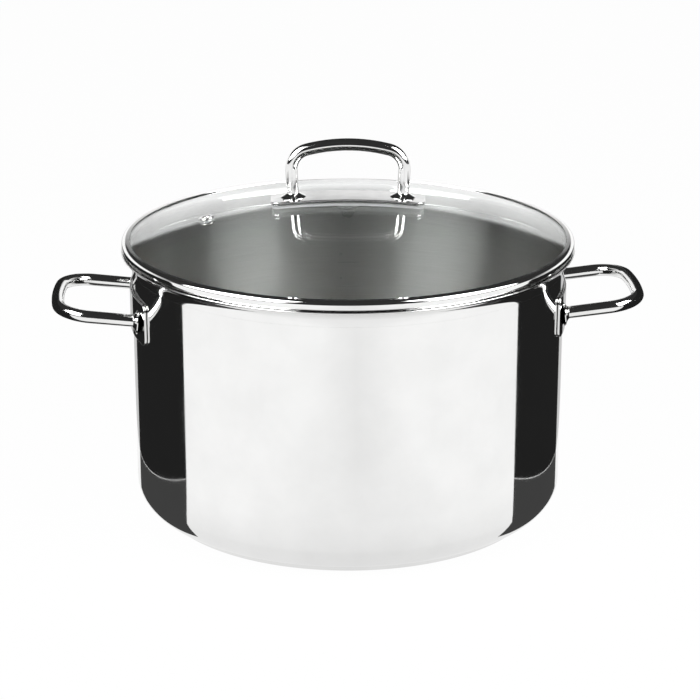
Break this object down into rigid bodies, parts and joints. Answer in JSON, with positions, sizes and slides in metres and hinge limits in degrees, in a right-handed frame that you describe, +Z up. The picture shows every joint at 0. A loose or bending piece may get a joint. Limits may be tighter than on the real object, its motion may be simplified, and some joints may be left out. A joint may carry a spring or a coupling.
{
  "type": "stock pot",
  "caption": "Steel stock pot with an encapsulated base, wire side handles and a domed glass lid with a steel rim band, steam vent and wire handle.",
  "frame": {"origin": "bottom centre of the base, on the surface the pot stands on", "axes": "+Z up through the lid handle; +X from the pot's axis to the right-hand side handle"},
  "size_m": [0.3862, 0.2948, 0.2469],
  "materials": {
    "pot_body": "polished stainless steel outside, satin inside",
    "base_core": "plain",
    "base_shell": "polished stainless steel",
    "handle_plate": "polished stainless steel",
    "handle_bow": "polished stainless steel",
    "lid_glass": "clear tempered glass",
    "lid_rim_band": "polished stainless steel",
    "vent_eyelet": "polished stainless steel",
    "silicone": "translucent silicone",
    "lid_handle_plate": "polished stainless steel",
    "lid_handle_bow": "polished stainless steel",
    "lid_fixing": "turned stainless steel"
  },
  "bodies": {
    "pot": {"pot_body": "pot_body", "base_core": "base_core", "base_shell": "base_shell", "handle_plate_left": "handle_plate", "handle_plate_right": "handle_plate", "handle_bow_left": "handle_bow", "handle_bow_right": "handle_bow"},
    "lid": {"lid_glass": "lid_glass", "lid_rim_band": "lid_rim_band", "vent_eyelet": "vent_eyelet", "vent_washer": "silicone", "lid_handle_plate": "lid_handle_plate", "lid_handle_bow": "lid_handle_bow", "lid_pad": "silicone", "lid_stud": "lid_fixing", "lid_bush": "silicone", "lid_seal_washer": "silicone", "lid_washer": "lid_fixing", "lid_nut": "lid_fixing"}
  },
  "joints": [
    {"name": "lid_lift", "type": "slide", "parent": "pot", "child": "lid", "axis": [0, 0, 1], "range_m": [0, 0.1]}
  ]
}
